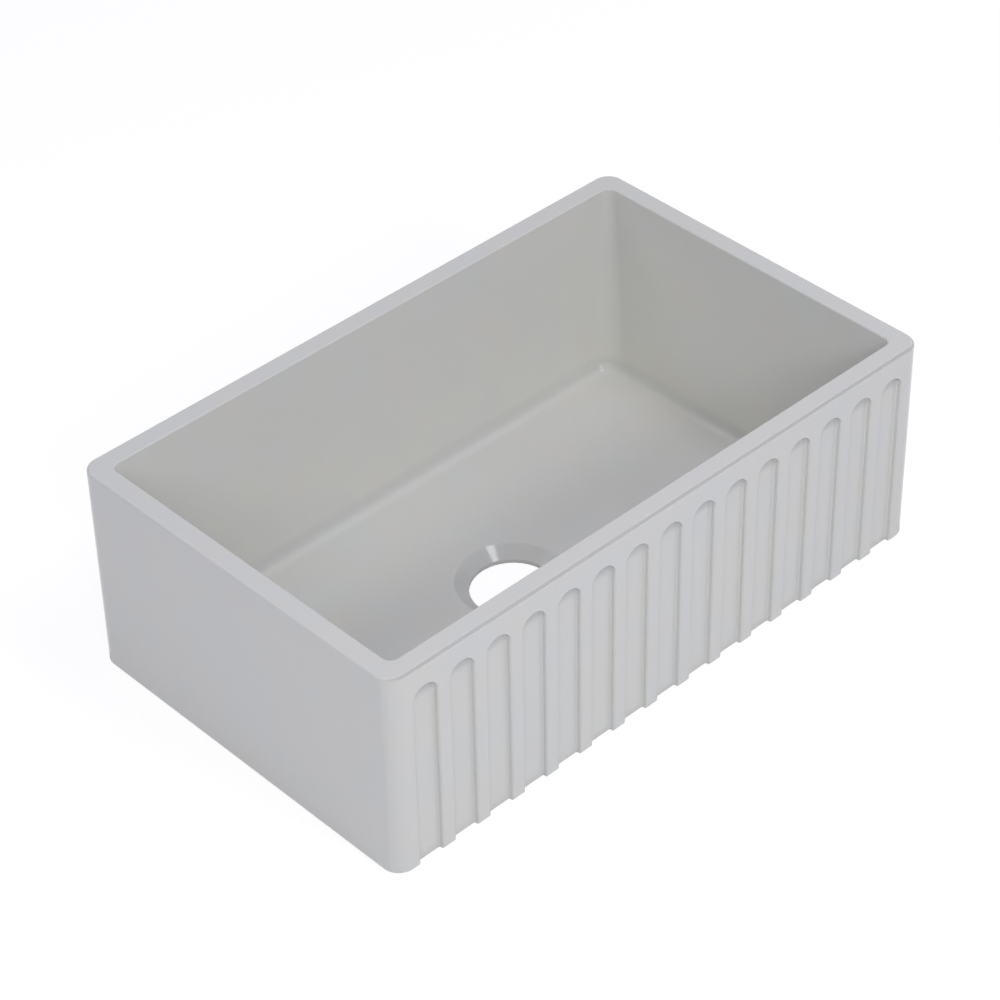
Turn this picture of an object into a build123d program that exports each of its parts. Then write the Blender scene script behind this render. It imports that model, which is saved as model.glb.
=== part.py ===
from build123d import *
import math
import os

# Farmhouse apron front sink in glazed fireclay, single bowl, bare of any waste fitting.
# Frame: origin at the middle of the underside, +X along the front, +Y to the back, +Z up, in mm.
# The front is at -Y. The bowl and the fluted apron are cast apart and luted together on a mitre
# that starts at the front arris, where the finished sink shows a fine seam line.

# ---- driving dimensions: outside ----
sink_width = 755.0
sink_depth = 460.0
sink_height = 254.0
outer_corner_radius = 20.0      # upright corners, seen from above
rim_edge_radius = 4.0           # outer edge of the rim
base_chamfer = 1.5              # broken edge round the underside

# ---- driving dimensions: basin ----
rim_width = 23.0                # flat top of the wall, the same on all four sides
wall_foot_width = 31.0          # wall at the floor, wider by the draft of the mould
rim_inner_radius = 10.0         # upright corners of the basin at the rim
floor_inner_radius = 30.0       # the same corners at the floor
inner_edge_radius = 2.0         # inner edge of the rim
floor_fillet_radius = 16.0      # sweep from wall to floor
floor_level = 18.0              # floor along the walls, before it falls to the drain
floor_level_strip = 3.0         # narrowest strip between the sweep and the falling part

# ---- driving dimensions: drain ----
drain_hole_radius = 47.0        # takes a 3 1/2 inch waste outlet
drain_land_length = 4.5         # straight wall of the hole under the seat
drain_land_edge_radius = 1.5    # where the land meets the seat
drain_seat_radius = 63.5        # outer edge of the conical seat
drain_seat_level = 16.0         # height of that edge above the underside
drain_seat_edge_radius = 4.0    # where the seat meets the floor

# ---- driving dimensions: fluted apron ----
apron_thickness = 12.0
flute_count = 15
flute_pitch = 47.44
flute_width = 30.0
flute_depth = 5.5
flute_top_drop = 28.0           # from the rim down to the crown of the arches
flute_arris = 1.2               # broken edge between the flutes and the face
flute_corner = 1.2              # softened corner along the bottom of each flute

# ---- driving dimensions: seam groove on the front arris ----
seam_groove_radius = 1.4
seam_fade_angle = 55.0          # how far round each corner the groove runs before it fades
seam_runout_angle = 20.0        # how far the cutter runs on, clear of the surface

# ---- derived ----
half_width = sink_width / 2
half_depth = sink_depth / 2
front_y = -half_depth
draft = (wall_foot_width - rim_width) / (sink_height - floor_level)
corner_growth = (floor_inner_radius - rim_inner_radius) / (sink_height - floor_level)
flute_top_height = sink_height - flute_top_drop
falling_floor_radius = half_depth - wall_foot_width - floor_fillet_radius - floor_level_strip
cut_margin = 5.0                # how far cutting tools run past the faces they cut
tolerance = 0.01                # for picking out edges that lie on a plane


def outer_block():
    """The sink before it is hollowed: upright corners, rounded rim and broken base edge."""
    with BuildSketch() as outline:
        RectangleRounded(sink_width, sink_depth, outer_corner_radius)
    block = extrude(outline.sketch, sink_height)
    block = fillet(block.faces().sort_by(Axis.Z)[-1].edges(), rim_edge_radius)
    return chamfer(block.faces().sort_by(Axis.Z)[0].edges(), base_chamfer)


def wall_width(level):
    return rim_width + draft * (sink_height - level)


def drafted_prism(profile_plane, half_span, half_length):
    """Space between two facing walls of the basin, from the floor to just above the rim."""
    top = sink_height + cut_margin
    at_floor = half_span - wall_width(floor_level)
    at_top = half_span - wall_width(top)
    with BuildPart() as prism:
        with BuildSketch(profile_plane):
            with BuildLine():
                Polyline(
                    (-at_floor, floor_level),
                    (at_floor, floor_level),
                    (at_top, top),
                    (-at_top, top),
                    close=True,
                )
            make_face()
        extrude(amount=half_length, both=True)
    return prism.part


def corner_ball(level):
    """Centre and radius of the ball that touches both walls in the +X +Y corner of the basin."""
    radius = rim_inner_radius + corner_growth * (sink_height - level)
    inset = wall_width(level) + radius * math.hypot(1, draft)
    return Vector(half_width - inset, half_depth - inset, level), radius


def corner_filler():
    """The clay that rounds the +X +Y corner: what a cone, wider at the foot, leaves beside the walls."""
    low, low_radius = corner_ball(floor_level - cut_margin)
    high, high_radius = corner_ball(sink_height + 2 * cut_margin)
    axis = (high - low).normalized()
    narrowing = (low_radius - high_radius) / (high - low).length
    slant = math.sqrt(1 - narrowing * narrowing)
    foot = low + axis * (low_radius * narrowing)
    tip = high + axis * (high_radius * narrowing)
    cone = Plane(origin=foot, x_dir=(-1, -1, 0), z_dir=axis) * Cone(
        low_radius * slant,
        high_radius * slant,
        (tip - foot).length,
        align=(Align.CENTER, Align.CENTER, Align.MIN),
    )

    # the cone touches each wall along a line, and the filler lies beyond the plane through both
    side_normal = Vector(1, 0, -draft).normalized()
    back_normal = Vector(0, 1, -draft).normalized()
    side_low = low + side_normal * low_radius
    side_high = high + side_normal * high_radius
    back_low = low + back_normal * low_radius
    across = side_low - back_low
    outward = (side_high - side_low).cross(across)
    beyond = Plane(origin=(side_low + back_low) / 2, x_dir=across, z_dir=outward) * Box(
        3 * floor_inner_radius,
        3 * sink_height,
        floor_inner_radius,
        align=(Align.CENTER, Align.CENTER, Align.MIN),
    )
    return beyond - cone


def basin():
    """The hollow of the bowl: drafted walls, corners that widen downwards and the sweep to the floor."""
    between_ends = drafted_prism(Plane.XZ, half_width, half_depth)
    front_to_back = drafted_prism(Plane.YZ, half_depth, half_width)
    hollow = between_ends & front_to_back
    filler = hollow & corner_filler()
    fillers = [filler, filler.mirror(Plane.YZ)]
    fillers += [one.mirror(Plane.XZ) for one in fillers]
    hollow = hollow - fillers
    return fillet(hollow.faces().sort_by(Axis.Z)[0].edges(), floor_fillet_radius)


def drain_opening():
    """The fall of the floor, the conical seat and the straight land of the hole, as one turned cutter."""
    with BuildPart() as cutter:
        with BuildSketch(Plane.XZ) as profile:
            with BuildLine():
                Polyline(
                    (0, floor_level + cut_margin),
                    (0, -cut_margin),
                    (drain_hole_radius, -cut_margin),
                    (drain_hole_radius, drain_land_length),
                    (drain_seat_radius, drain_seat_level),
                    (falling_floor_radius, floor_level),
                    (falling_floor_radius, floor_level + cut_margin),
                    close=True,
                )
            make_face()
            for place, radius in (
                ((drain_seat_radius, drain_seat_level), drain_seat_edge_radius),
                ((drain_hole_radius, drain_land_length), drain_land_edge_radius),
            ):
                fillet(profile.vertices().sort_by_distance(place)[0], radius)
        revolve(axis=Axis.Z)
    return cutter.part


def seam_groove():
    """Round-bottomed groove along the front arris that runs out of the surface at the corners."""
    inset = rim_edge_radius * (1 - math.sqrt(0.5))   # middle of the rounded rim edge
    follow_radius = outer_corner_radius - inset
    fade = 1 - math.cos(math.radians(seam_fade_angle))
    path_radius = follow_radius + seam_groove_radius / fade
    path_angle = seam_fade_angle + seam_runout_angle
    straight_end = half_width - outer_corner_radius
    path_y = front_y + inset
    arc_y = path_y + path_radius
    level = sink_height - inset
    with BuildPart() as groove:
        with BuildLine(Plane.XY.offset(level)) as path:
            left = CenterArc((-straight_end, arc_y), path_radius, 270 - path_angle, path_angle)
            Line((-straight_end, path_y), (straight_end, path_y))
            CenterArc((straight_end, arc_y), path_radius, 270, path_angle)
        start = left @ 0
        with BuildSketch(Plane(origin=start, z_dir=left % 0)):
            Circle(seam_groove_radius)
        sweep(path=path.wires()[0])
    return groove.part


def flute_cutter():
    """One arched flute, open at the foot, with softened corners at its bottom, centred on X = 0."""
    half = flute_width / 2
    spring_line = flute_top_height - half

    floor_plane = Plane(origin=(0, front_y + flute_depth, 0), x_dir=(1, 0, 0), z_dir=(0, -1, 0))
    with BuildSketch(floor_plane) as face:
        with BuildLine():
            Line((-half, -cut_margin), (-half, spring_line))
            CenterArc((0, spring_line), half, 0, 180)
            Line((half, spring_line), (half, -cut_margin))
            Line((half, -cut_margin), (-half, -cut_margin))
        make_face()
    cutter = extrude(face.sketch, flute_depth + cut_margin)
    floor_edges = cutter.faces().sort_by(Axis.Y)[-1].edges().filter_by(lambda edge: edge.center().Z > 0)
    return chamfer(floor_edges, flute_corner)


def fluted(block):
    """Cut the row of flutes into the front face and break their arrises."""
    first = -flute_pitch * (flute_count - 1) / 2
    cutter = flute_cutter()
    cutters = [Pos(first + number * flute_pitch, 0, 0) * cutter for number in range(flute_count)]
    block = block - cutters

    def is_flute_arris(edge):
        box = edge.bounding_box()
        on_face = abs(box.min.Y - front_y) < tolerance and abs(box.max.Y - front_y) < tolerance
        in_row = abs(edge.center().X) < half_width - outer_corner_radius - tolerance
        return on_face and in_row and base_chamfer < edge.center().Z < flute_top_height + tolerance

    return chamfer(block.edges().filter_by(is_flute_arris), flute_arris)


def apron_wedge():
    """The space of the apron slab: flat back, and a top mitred at 45 degrees from the front arris."""
    reach = half_width + cut_margin
    with BuildPart() as wedge:
        with BuildSketch(Plane.YZ.offset(-reach)):
            with BuildLine():
                Polyline(
                    (front_y - cut_margin, -cut_margin),
                    (front_y + apron_thickness, -cut_margin),
                    (front_y + apron_thickness, sink_height - apron_thickness),
                    (front_y - cut_margin, sink_height + cut_margin),
                    close=True,
                )
            make_face()
        extrude(amount=2 * reach)
    return wedge.part


def build():
    block = outer_block() - seam_groove()
    wedge = apron_wedge()
    apron = fluted(block & wedge)
    bowl = block - wedge - basin() - drain_opening()

    def is_inner_rim(edge):
        at_top = abs(edge.bounding_box().min.Z - sink_height) < tolerance
        in_width = abs(edge.center().X) < half_width - rim_width + tolerance
        in_depth = abs(edge.center().Y) < half_depth - rim_width + tolerance
        return at_top and in_width and in_depth

    bowl = fillet(bowl.edges().filter_by(is_inner_rim), inner_edge_radius)
    return {"bowl": bowl, "fluted_apron": apron}


os.makedirs("parts", exist_ok=True)
for name, solid in build().items():
    export_step(solid, f"parts/{name}.step")
    print(name, "solids", len(solid.solids()), "volume cm3", round(solid.volume / 1000, 1))
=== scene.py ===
import math

import bmesh
import bpy
from mathutils import Matrix, Vector


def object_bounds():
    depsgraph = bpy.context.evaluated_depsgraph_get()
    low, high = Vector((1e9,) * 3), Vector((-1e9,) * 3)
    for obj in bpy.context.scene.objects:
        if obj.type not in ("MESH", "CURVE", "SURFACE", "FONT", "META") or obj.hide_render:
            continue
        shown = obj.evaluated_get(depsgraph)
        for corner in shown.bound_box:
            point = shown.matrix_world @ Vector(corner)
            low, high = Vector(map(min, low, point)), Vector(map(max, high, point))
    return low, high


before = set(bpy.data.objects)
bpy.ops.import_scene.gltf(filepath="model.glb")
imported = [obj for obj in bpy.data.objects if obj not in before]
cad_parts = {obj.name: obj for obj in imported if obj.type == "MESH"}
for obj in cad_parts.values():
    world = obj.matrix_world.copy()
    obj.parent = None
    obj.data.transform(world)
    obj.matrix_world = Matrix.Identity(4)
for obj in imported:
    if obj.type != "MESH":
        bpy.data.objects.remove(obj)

cadLow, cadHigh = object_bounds()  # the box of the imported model, before anything is dressed

mm = 0.001
middle = Vector((0, 0, cadHigh[2] / 2))  # of the sink, where the camera and the lamps aim


def hexToLinear(code):
    # "#c8c9cb" as painted on screen, turned to the linear values that the nodes want
    linear = []
    for place in (1, 3, 5):
        value = int(code[place:place + 2], 16) / 255
        linear.append(value / 12.92 if value <= 0.04045 else ((value + 0.055) / 1.055) ** 2.4)
    return (*linear, 1.0)


def addNode(tree, kind, links=None, **settings):
    # one node with its settings; a link's key is a socket's name or number,
    # and its value an output socket or a plain value
    node = tree.nodes.new(kind)
    for name, value in settings.items():
        setattr(node, name, value)
    for key, value in (links or {}).items():
        socket = node.inputs[key]
        if isinstance(value, bpy.types.NodeSocket):
            tree.links.new(value, socket)
        else:
            socket.default_value = value
    return node


def newMaterial(name):
    material = bpy.data.materials.new(name)
    material.use_nodes = True
    material.node_tree.nodes.clear()
    return material, material.node_tree


def outwards(azimuth, elevation):
    # the way from the sink to a place, given in degrees round from the front and degrees up
    around, up = math.radians(azimuth), math.radians(elevation)
    return Vector((math.sin(around) * math.cos(up), -math.cos(around) * math.cos(up), math.sin(up)))


# the camera's place comes from the straight edges of the sink in the photo
view = {
    "azimuth": -43.143,       # degrees, minus is to the left of the front
    "elevation": 39.06,
    "roll": -1.233,
    "distance": 3.3428,       # metres from the middle of the sink
    "sideways": -0.01168,
    "upwards": -0.00109,
    "lens": 114.954,          # mm
    "sensor": 36,             # mm across
    "nearest": 0.05,          # metres, what is nearer or further isn't drawn
    "furthest": 50,
}


def addCamera():
    back = outwards(view["azimuth"], view["elevation"])
    levelRight = Vector((0, 0, 1)).cross(back).normalized()
    levelUp = back.cross(levelRight)
    roll = math.radians(view["roll"])
    right = levelRight * math.cos(roll) + levelUp * math.sin(roll)
    up = levelUp * math.cos(roll) - levelRight * math.sin(roll)
    place = middle + back * view["distance"]
    place += right * view["sideways"] + up * view["upwards"]
    data = bpy.data.cameras.new("camera")
    data.sensor_width = view["sensor"]
    data.lens = view["lens"]
    data.clip_start = view["nearest"]
    data.clip_end = view["furthest"]
    camera = bpy.data.objects.new("camera", data)
    turn = Matrix((right, up, back)).transposed()
    camera.matrix_world = Matrix.Translation(place) @ turn.to_4x4()
    bpy.context.scene.collection.objects.link(camera)
    bpy.context.scene.camera = camera


addCamera()
print("camera placed")

seam = {
    "cornerRadius": 20 * mm,  # upright corners of the sink
    "rimRadius": 4 * mm,      # rounded edge that the seam runs along
    "grooveRadius": 1.4 * mm,
    "fadeAngle": 55,          # degrees round each corner
    "softness": 0.9 * mm,     # how far the tone goes on past the groove
    "colour": "#c9c9c5",      # painted shade in the groove
    "roughness": 0.45,
    "lips": 0.2,              # how much of it there is at the lips, of 1 at the bottom
    "lipDepth": 0.2,          # inwards plus downwards to lips and bottom, in radii of the groove
    "bottomDepth": 1.3,
    "atCorner": 0.6,          # how much is left of it at the far side of each corner
    "cornerFrom": 2 * mm,     # it lessens between these distances past the straight part
    "cornerTo": 14 * mm,
}


def seamMask(tree, place):
    # fullest at the bottom of the groove along the front arris and 0 away from it,
    # by the distance to a line with an arc at each end; it places the groove's painted shade and duller
    # gloss
    inset = seam["rimRadius"] * (1 - math.sqrt(0.5))  # the groove runs along the middle of the rounded edge
    fade = 1 - math.cos(math.radians(seam["fadeAngle"]))
    pathRadius = seam["cornerRadius"] - inset + seam["grooveRadius"] / fade
    straightEnd = cadHigh[0] - seam["cornerRadius"]
    arcY = cadLow[1] + inset + pathRadius
    fromMiddle = addNode(tree, "ShaderNodeMath", {0: place.outputs["X"]}, operation="ABSOLUTE")
    pastEnd = addNode(tree, "ShaderNodeMath", {0: fromMiddle.outputs[0], 1: straightEnd},
                      operation="SUBTRACT")
    along = addNode(tree, "ShaderNodeMath", {0: pastEnd.outputs[0], 1: 0.0}, operation="MAXIMUM")
    toFront = addNode(tree, "ShaderNodeMath", {0: arcY, 1: place.outputs["Y"]}, operation="SUBTRACT")
    across = addNode(tree, "ShaderNodeMath", {0: toFront.outputs[0], 1: 0.0}, operation="MAXIMUM")
    flat = addNode(tree, "ShaderNodeCombineXYZ", {"X": along.outputs[0], "Y": across.outputs[0]})
    reach = addNode(tree, "ShaderNodeVectorMath", {0: flat.outputs[0]}, operation="LENGTH")
    sideways = addNode(tree, "ShaderNodeMath", {0: reach.outputs["Value"], 1: pathRadius},
                       operation="SUBTRACT")
    upwards = addNode(tree, "ShaderNodeMath", {0: place.outputs["Z"], 1: cadHigh[2] - inset},
                      operation="SUBTRACT")
    section = addNode(tree, "ShaderNodeCombineXYZ", {"X": sideways.outputs[0], "Y": upwards.outputs[0]})
    distance = addNode(tree, "ShaderNodeVectorMath", {0: section.outputs[0]}, operation="LENGTH")
    near = addNode(tree, "ShaderNodeMapRange",
                   {"Value": distance.outputs["Value"],
                    "From Min": seam["grooveRadius"] + seam["softness"],
                    "From Max": seam["grooveRadius"]},
                   interpolation_type="SMOOTHSTEP")
    rise = addNode(tree, "ShaderNodeMath", {0: sideways.outputs[0], 1: upwards.outputs[0]},
                   operation="ADD")
    deep = addNode(tree, "ShaderNodeMapRange",
                   {"Value": rise.outputs[0],
                    "From Min": -seam["lipDepth"] * seam["grooveRadius"],
                    "From Max": -seam["bottomDepth"] * seam["grooveRadius"],
                    "To Min": seam["lips"]},
                   interpolation_type="SMOOTHSTEP")
    fading = addNode(tree, "ShaderNodeMapRange",
                     {"Value": along.outputs[0],
                      "From Min": seam["cornerFrom"], "From Max": seam["cornerTo"],
                      "To Min": 1.0, "To Max": seam["atCorner"]})
    mask = near
    for part in (deep, fading):
        mask = addNode(tree, "ShaderNodeMath", {0: mask.outputs[0], 1: part.outputs[0]},
                       operation="MULTIPLY")
    return mask.outputs[0]


arch = {
    "count": 15,
    "pitch": 47.44 * mm,      # the row of flutes, one of them at X = 0
    "halfWidth": 15 * mm,
    "slack": 0.1 * mm,        # the walls of a flute count as inside it
    "drop": 28 * mm,          # from the rim down to the crown
    "arrisDepth": 1.3 * mm,   # how far behind the front the broken arrises reach
    "lineFrom": 1.7 * mm,     # how far outside the arch the line starts
    "lineFull": 0.9 * mm,     # and where it is darkest
    "lineLow": -1 * mm,       # it sets in at this height over the centre of the arch
    "lineHigh": 14 * mm,      # and has all its strength at this one
    "line": "#a6a6a2",        # painted shade along the arris of the arch
    "lineStrength": 0.9,
    "shadeDrop": 19 * mm,     # below the crown by this, the painted shade under the arch has faded out
    "shadeFull": 5 * mm,      # and down to here it is darkest
    "bottomFrom": 4 * mm,     # depths behind the front where it sets in, is full and ends
    "bottomFull": 5 * mm,
    "bottomEnd": 6 * mm,
    # painted shade on the bottom of the flute under the arch
    "shade": "#c2c3c0",
    "shadeStrength": 0.8,
}


def archMasks(tree, place):
    # the painted shade line over the arris of each arch, and the painted shade on the bottom of the flute
    # under it
    crown = cadHigh[2] - arch["drop"]
    fromMiddle = addNode(tree, "ShaderNodeMath", {0: place.outputs["X"]}, operation="ABSOLUTE")
    inRow = addNode(tree, "ShaderNodeMath",
                    {0: fromMiddle.outputs[0], 1: arch["count"] * arch["pitch"] / 2},
                    operation="LESS_THAN")
    wrapped = addNode(tree, "ShaderNodeMath",
                      {0: place.outputs["X"], 1: arch["pitch"] / 2, 2: -arch["pitch"] / 2},
                      operation="WRAP")
    above = addNode(tree, "ShaderNodeMath", {0: place.outputs["Z"], 1: crown - arch["halfWidth"]},
                    operation="SUBTRACT")
    flat = addNode(tree, "ShaderNodeCombineXYZ", {"X": wrapped.outputs[0], "Y": above.outputs[0]})
    reach = addNode(tree, "ShaderNodeVectorMath", {0: flat.outputs[0]}, operation="LENGTH")

    near = addNode(tree, "ShaderNodeMapRange",
                   {"Value": reach.outputs["Value"],
                    "From Min": arch["halfWidth"] + arch["lineFrom"],
                    "From Max": arch["halfWidth"] + arch["lineFull"]},
                   interpolation_type="SMOOTHSTEP")
    upper = addNode(tree, "ShaderNodeMapRange",
                    {"Value": above.outputs[0], "From Min": arch["lineLow"], "From Max": arch["lineHigh"],
                     "To Max": arch["lineStrength"]},
                    interpolation_type="SMOOTHSTEP")
    onFace = addNode(tree, "ShaderNodeMath",
                     {0: place.outputs["Y"], 1: cadLow[1] + arch["arrisDepth"]},
                     operation="LESS_THAN")
    line = inRow
    for part in (near, upper, onFace):
        line = addNode(tree, "ShaderNodeMath", {0: line.outputs[0], 1: part.outputs[0]},
                       operation="MULTIPLY")

    crownShade = addNode(tree, "ShaderNodeMapRange",
                   {"Value": place.outputs["Z"],
                    "From Min": crown - arch["shadeDrop"], "From Max": crown - arch["shadeFull"],
                    "To Max": arch["shadeStrength"]},
                   interpolation_type="SMOOTHSTEP")
    deep = addNode(tree, "ShaderNodeMapRange",
                   {"Value": place.outputs["Y"],
                    "From Min": cadLow[1] + arch["bottomFrom"], "From Max": cadLow[1] + arch["bottomFull"]})
    atFront = addNode(tree, "ShaderNodeMath",
                      {0: place.outputs["Y"], 1: cadLow[1] + arch["bottomEnd"]},
                      operation="LESS_THAN")
    underArch = addNode(tree, "ShaderNodeMath",
                        {0: reach.outputs["Value"], 1: arch["halfWidth"] + arch["slack"]},
                        operation="LESS_THAN")
    shade = inRow
    for part in (crownShade, deep, atFront, underArch):
        shade = addNode(tree, "ShaderNodeMath", {0: shade.outputs[0], 1: part.outputs[0]},
                        operation="MULTIPLY")
    return line.outputs[0], shade.outputs[0]


seat = {
    "radius": 64 * mm,        # the cone round the drain hole, which is given a painted shade
    "softness": 3 * mm,
    "colour": "#cfd0ca",
    "strength": 0.6,
}


def seatShadeMask(tree, place):
    # painted shade on the cone round the drain hole
    flat = addNode(tree, "ShaderNodeCombineXYZ", {"X": place.outputs["X"], "Y": place.outputs["Y"]})
    reach = addNode(tree, "ShaderNodeVectorMath", {0: flat.outputs[0]}, operation="LENGTH")
    return addNode(tree, "ShaderNodeMapRange",
                   {"Value": reach.outputs["Value"], "From Min": seat["radius"],
                    "From Max": seat["radius"] - seat["softness"], "To Max": seat["strength"]},
                   interpolation_type="SMOOTHSTEP").outputs[0]


sweep = {
    "low": 18.2 * mm,         # heights over which a painted shade lies in the sweep at the foot of the walls
    "full": 24 * mm,
    "high": 40 * mm,
    "rim": 23 * mm,           # outside the basin there is none
    "colour": "#cfd0ca",
    "strength": 0.85,
}


def sweepShadeMask(tree, place):
    # painted shade on the sweep from the walls to the floor, inside the basin only
    rising = addNode(tree, "ShaderNodeMapRange",
                     {"Value": place.outputs["Z"], "From Min": sweep["low"], "From Max": sweep["full"],
                      "To Max": sweep["strength"]},
                     interpolation_type="SMOOTHSTEP")
    falling = addNode(tree, "ShaderNodeMapRange",
                      {"Value": place.outputs["Z"], "From Min": sweep["high"], "From Max": sweep["full"]},
                      interpolation_type="SMOOTHSTEP")
    mask = addNode(tree, "ShaderNodeMath", {0: rising.outputs[0], 1: falling.outputs[0]},
                   operation="MULTIPLY")
    for axis, side in (("X", cadHigh[0]), ("Y", cadHigh[1])):
        fromMiddle = addNode(tree, "ShaderNodeMath", {0: place.outputs[axis]}, operation="ABSOLUTE")
        inside = addNode(tree, "ShaderNodeMath", {0: fromMiddle.outputs[0], 1: side - sweep["rim"]},
                         operation="LESS_THAN")
        mask = addNode(tree, "ShaderNodeMath", {0: mask.outputs[0], 1: inside.outputs[0]},
                       operation="MULTIPLY")
    return mask.outputs[0]


foot = {
    "height": 0.5 * mm,       # wiped clean of glaze up to here
    "edge": 0.1 * mm,         # softness of the line where the glaze starts
    "wander": 0.5 * mm,       # how far that line strays, and over what length
    "ripple": 9 * mm,
    "light": "#d3c6b0",
    "dark": "#bcae97",
    "grain": 1.2 * mm,        # sand of the kiln shelf
    "grainHeight": 0.06 * mm,
    "roughness": 0.85,
}


def footMask(tree, where, place):
    # 1 on the bare clay underneath, with an edge that wanders as a wiped one does
    ripple = addNode(tree, "ShaderNodeTexNoise",
                     {"Vector": where, "Scale": 1 / foot["ripple"], "Detail": 2.0})
    line = addNode(tree, "ShaderNodeMath",
                   {0: ripple.outputs[0], 1: foot["wander"], 2: place.outputs["Z"]},
                   operation="MULTIPLY_ADD")
    top = foot["height"] + foot["wander"] / 2
    return addNode(tree, "ShaderNodeMapRange",
                   {"Value": line.outputs[0], "From Min": top + foot["edge"],
                    "From Max": top - foot["edge"]}).outputs[0]


glaze = {
    "warm": "#e0dfd7",
    "cool": "#dedfd9",
    "cloud": 70 * mm,         # how far the tone drifts over the ware
    "cloudRange": (0.35, 0.65),  # noise values that stand for all warm and all cool
    "glossRange": (0.1, 0.15),  # roughness of the smoothest and the dullest patches
    "glossPatch": 24 * mm,
    "patchRange": (0.3, 0.7),  # noise values that stand for smoothest and dullest
    "ior": 1.38,              # lower than window glass: the gloss in the photo is faint
    "wave": 15 * mm,          # slow swell that the glaze keeps as it sets
    "waveHeight": 0.03 * mm,
    "peel": 1.8 * mm,         # orange peel
    "peelHeight": 0.003 * mm,
    "arris": 2.2 * mm,        # the glaze rounds the arrises of the flutes this softly
    "arrisSamples": 6,
    "speckGap": 17 * mm,      # iron specks, rare and small
    "speckRadius": 0.4 * mm,
    "speckEdge": 0.3,         # softness of their edge, of the radius
    "speckShare": 0.5,        # of the cells that hold one
    "speck": "#a89f8f",
}


def speckMask(tree, where):
    # a round dot in about half the cells of a loose grid
    cells = addNode(tree, "ShaderNodeTexVoronoi", {"Vector": where, "Scale": 1 / glaze["speckGap"]})
    size = glaze["speckRadius"] / glaze["speckGap"]
    dot = addNode(tree, "ShaderNodeMapRange",
                  {"Value": cells.outputs["Distance"],
                   "From Min": (1 + glaze["speckEdge"]) * size,
                   "From Max": (1 - glaze["speckEdge"]) * size},
                  interpolation_type="SMOOTHSTEP")
    lot = addNode(tree, "ShaderNodeSeparateColor", {0: cells.outputs["Color"]})
    chosen = addNode(tree, "ShaderNodeMath", {0: lot.outputs[0], 1: glaze["speckShare"]},
                     operation="LESS_THAN")
    return addNode(tree, "ShaderNodeMath", {0: dot.outputs[0], 1: chosen.outputs[0]},
                   operation="MULTIPLY").outputs[0]


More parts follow.
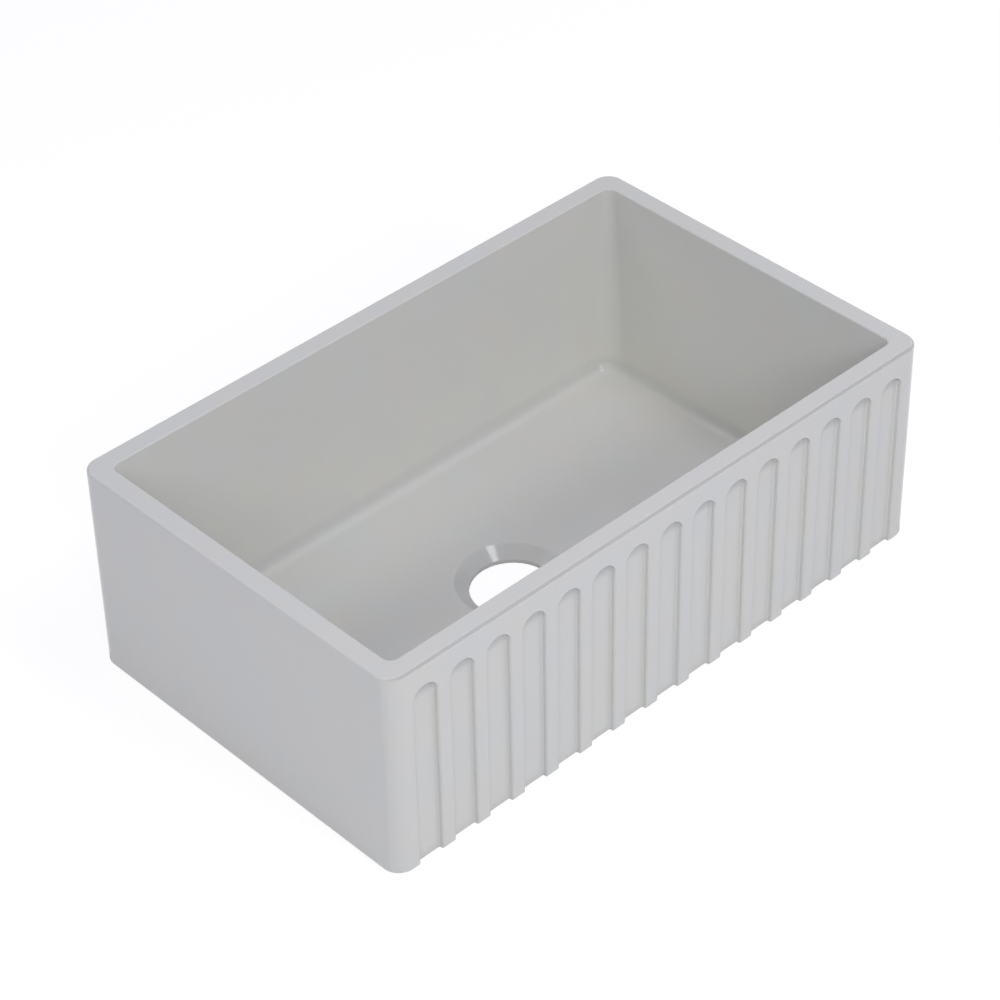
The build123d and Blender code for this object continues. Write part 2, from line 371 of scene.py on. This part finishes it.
def glazedFireclay():
    # fireclay slip-cast, sprayed with white glaze and fired once: an even, glassy white over a slow swell,
    # its tone drifting a little, with a rare iron speck and the bare buff clay showing only underneath
    material, tree = newMaterial("glazedFireclay")
    where = addNode(tree, "ShaderNodeTexCoord").outputs["Object"]
    place = addNode(tree, "ShaderNodeSeparateXYZ", {0: where})
    grooveShadeAndGloss = seamMask(tree, place)
    arrisShade, underArch = archMasks(tree, place)
    onFoot = footMask(tree, where, place)

    # the white of the glaze, then each tone laid over the ones before it: the iron specks, then painted
    # shade on the drain seat, the sweep, under and along each arch and in the seam groove
    cloud = addNode(tree, "ShaderNodeTexNoise",
                    {"Vector": where, "Scale": 1 / glaze["cloud"], "Detail": 3.0})
    allWarm, allCool = glaze["cloudRange"]
    drift = addNode(tree, "ShaderNodeMapRange",
                    {"Value": cloud.outputs[0], "From Min": allWarm, "From Max": allCool})
    glazed = addNode(tree, "ShaderNodeMix",
                     {0: drift.outputs[0], 6: hexToLinear(glaze["warm"]), 7: hexToLinear(glaze["cool"])},
                     data_type="RGBA")
    for mask, tone in ((speckMask(tree, where), glaze["speck"]),
                       (seatShadeMask(tree, place), seat["colour"]),
                       (sweepShadeMask(tree, place), sweep["colour"]),
                       (underArch, arch["shade"]),
                       (arrisShade, arch["line"]),
                       (grooveShadeAndGloss, seam["colour"])):
        glazed = addNode(tree, "ShaderNodeMix", {0: mask, 6: glazed.outputs[2], 7: hexToLinear(tone)},
                         data_type="RGBA")
    sand = addNode(tree, "ShaderNodeTexNoise",
                   {"Vector": where, "Scale": 1 / foot["grain"], "Detail": 4.0})
    clay = addNode(tree, "ShaderNodeMix",
                   {0: sand.outputs[0], 6: hexToLinear(foot["dark"]), 7: hexToLinear(foot["light"])},
                   data_type="RGBA")
    colour = addNode(tree, "ShaderNodeMix", {0: onFoot, 6: glazed.outputs[2], 7: clay.outputs[2]},
                     data_type="RGBA")

    patch = addNode(tree, "ShaderNodeTexNoise",
                    {"Vector": where, "Scale": 1 / glaze["glossPatch"], "Detail": 2.0})
    smoothest, dullest = glaze["patchRange"]
    smooth, dull = glaze["glossRange"]
    gloss = addNode(tree, "ShaderNodeMapRange",
                    {"Value": patch.outputs[0], "From Min": smoothest, "From Max": dullest,
                     "To Min": smooth, "To Max": dull})
    seamGloss = addNode(tree, "ShaderNodeMix", {0: grooveShadeAndGloss, 2: gloss.outputs[0], 3: seam["roughness"]})
    roughness = addNode(tree, "ShaderNodeMix", {0: onFoot, 2: seamGloss.outputs[0], 3: foot["roughness"]})

    # the arrises of the flutes are softened, the rest keeps its own surface, and both are waved and peeled
    soft = addNode(tree, "ShaderNodeBevel", {"Radius": glaze["arris"]}, samples=glaze["arrisSamples"])
    plain = addNode(tree, "ShaderNodeNewGeometry")
    behind = addNode(tree, "ShaderNodeMath",
                     {0: place.outputs["Y"], 1: cadLow[1] + arch["arrisDepth"]},
                     operation="GREATER_THAN")
    normal = addNode(tree, "ShaderNodeMix",
                     {0: behind.outputs[0], 4: soft.outputs[0], 5: plain.outputs["Normal"]},
                     data_type="VECTOR")
    swell = addNode(tree, "ShaderNodeTexNoise",
                    {"Vector": where, "Scale": 1 / glaze["wave"], "Detail": 1.0})
    waved = addNode(tree, "ShaderNodeBump",
                    {"Height": swell.outputs[0], "Distance": glaze["waveHeight"],
                     "Normal": normal.outputs[1]})
    peel = addNode(tree, "ShaderNodeTexNoise",
                   {"Vector": where, "Scale": 1 / glaze["peel"], "Detail": 1.0})
    peeled = addNode(tree, "ShaderNodeBump",
                     {"Height": peel.outputs[0], "Distance": glaze["peelHeight"],
                      "Normal": waved.outputs[0]})
    sanded = addNode(tree, "ShaderNodeBump",
                     {"Height": sand.outputs[0], "Distance": foot["grainHeight"], "Strength": onFoot,
                      "Normal": peeled.outputs[0]})

    shader = addNode(tree, "ShaderNodeBsdfPrincipled", {
        "Base Color": colour.outputs[2],
        "Roughness": roughness.outputs[0],
        "Normal": sanded.outputs[0],
        "IOR": glaze["ior"],
    })
    addNode(tree, "ShaderNodeOutputMaterial", {"Surface": shader.outputs["BSDF"]})
    return material


fireclay = glazedFireclay()
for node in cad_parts.values():
    node.data.materials.clear()
    node.data.materials.append(fireclay)
print("glaze on", len(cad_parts), "nodes")

stage = {
    "floorSize": 12.0,
    "floorDrop": 0.2 * mm,    # below the sink, so that floor and foot don't share a plane
    "floorColour": "#f4f5f8",
    "white": "#ffffff",       # the background, as the camera and gloss see it
    "ownLight": 0.82,         # part of the background's white that a shadow can't take away
    "litColour": "#959595",   # and the paper added to it, which the lamps light and the sink shades
    "underShare": 0.25,       # what gloss shows of that own light under the sink, where it is dark
    "worldColour": "#f1f1ff",
    "worldStrength": 0.343,
    "lampDistance": 3.0,      # metres from the middle of the sink
}


def seenDirectly(tree):
    # 1 for the camera and for what gloss and clear things show, 0 for light that bounces
    path = addNode(tree, "ShaderNodeLightPath")
    either = addNode(tree, "ShaderNodeMath",
                     {0: path.outputs["Is Camera Ray"], 1: path.outputs["Is Glossy Ray"]},
                     operation="MAXIMUM")
    return addNode(tree, "ShaderNodeMath",
                   {0: either.outputs[0], 1: path.outputs["Is Transmission Ray"]},
                   operation="MAXIMUM").outputs[0]


def addFloor():
    mesh = bpy.data.meshes.new("floor")
    shape = bmesh.new()
    bmesh.ops.create_grid(shape, x_segments=1, y_segments=1, size=stage["floorSize"] / 2)
    shape.to_mesh(mesh)
    shape.free()
    floor = bpy.data.objects.new("floor", mesh)
    floor.location.z = -stage["floorDrop"]
    bpy.context.scene.collection.objects.link(floor)

    # light that bounces meets plain paper, and the camera and gloss see the white of the background
    material, tree = newMaterial("palePaper")
    where = addNode(tree, "ShaderNodeTexCoord").outputs["Object"]
    fromMiddle = addNode(tree, "ShaderNodeVectorMath", {0: where}, operation="ABSOLUTE")
    sides = addNode(tree, "ShaderNodeSeparateXYZ", {0: fromMiddle.outputs[0]})
    shaded = addNode(tree, "ShaderNodeLightPath").outputs["Is Glossy Ray"]
    for axis, side in (("X", cadHigh[0]), ("Y", cadHigh[1])):
        under = addNode(tree, "ShaderNodeMath", {0: sides.outputs[axis], 1: side}, operation="LESS_THAN")
        shaded = addNode(tree, "ShaderNodeMath", {0: shaded, 1: under.outputs[0]},
                         operation="MULTIPLY").outputs[0]
    own = stage["ownLight"]
    strength = addNode(tree, "ShaderNodeMath",
                       {0: shaded, 1: (stage["underShare"] - 1) * own, 2: own},
                       operation="MULTIPLY_ADD")
    white = addNode(tree, "ShaderNodeEmission",
                    {"Color": hexToLinear(stage["white"]), "Strength": strength.outputs[0]})
    lit = addNode(tree, "ShaderNodeBsdfDiffuse", {"Color": hexToLinear(stage["litColour"])})
    shown = addNode(tree, "ShaderNodeAddShader", {0: white.outputs[0], 1: lit.outputs[0]})
    paper = addNode(tree, "ShaderNodeBsdfDiffuse", {"Color": hexToLinear(stage["floorColour"])})
    mixed = addNode(tree, "ShaderNodeMixShader",
                    {0: seenDirectly(tree), 1: paper.outputs[0], 2: shown.outputs[0]})
    addNode(tree, "ShaderNodeOutputMaterial", {"Surface": mixed.outputs[0]})
    mesh.materials.append(material)


def addWorld():
    world = bpy.data.worlds.new("studio")
    world.use_nodes = True
    tree = world.node_tree
    tree.nodes.clear()
    soft = addNode(tree, "ShaderNodeBackground",
                   {"Color": hexToLinear(stage["worldColour"]), "Strength": stage["worldStrength"]})
    white = addNode(tree, "ShaderNodeBackground", {"Color": hexToLinear(stage["white"]), "Strength": 1.0})
    mixed = addNode(tree, "ShaderNodeMixShader",
                    {0: seenDirectly(tree), 1: soft.outputs[0], 2: white.outputs[0]})
    addNode(tree, "ShaderNodeOutputWorld", {"Surface": mixed.outputs[0]})
    bpy.context.scene.world = world


lamps = {
    # degrees round the sink from the front, degrees up, metres across
    "key": {"azimuth": 0, "elevation": 38.5, "size": 0.45, "watts": 12.2, "colour": "#fbfbff"},
    "fill": {"azimuth": -45, "elevation": 35, "size": 1.4, "watts": 15.7, "colour": "#fbfbff"},
    "spot": {"azimuth": 18.5, "elevation": 62, "size": 0.5, "watts": 7.3, "colour": "#fbfbff"},
    "high": {"azimuth": 45, "elevation": 69, "size": 0.8, "watts": 8.9, "colour": "#e3e3ff"},
    "right": {"azimuth": 90, "elevation": 30, "size": 1.4, "watts": 6.2, "colour": "#fbfbff"},
    "left": {"azimuth": -90, "elevation": 30, "size": 1.4, "watts": 2.7, "colour": "#fbfbff"},
    "back": {"azimuth": -150, "elevation": 45, "size": 1.4, "watts": 8.2, "colour": "#ebebff"},
}


def addLamp(name, lamp):
    back = outwards(lamp["azimuth"], lamp["elevation"])
    data = bpy.data.lights.new(name, "AREA")
    data.shape = "DISK"
    data.size = lamp["size"]
    data.energy = lamp["watts"]
    data.color = hexToLinear(lamp["colour"])[:3]
    light = bpy.data.objects.new(name, data)
    light.location = middle + back * stage["lampDistance"]
    light.rotation_mode = "QUATERNION"
    light.rotation_quaternion = back.to_track_quat("Z", "Y")
    bpy.context.scene.collection.objects.link(light)


addFloor()
addWorld()
for name, lamp in lamps.items():
    addLamp(name, lamp)
bpy.context.scene.view_settings.view_transform = "Standard"
print("stage and", len(lamps), "lamps")
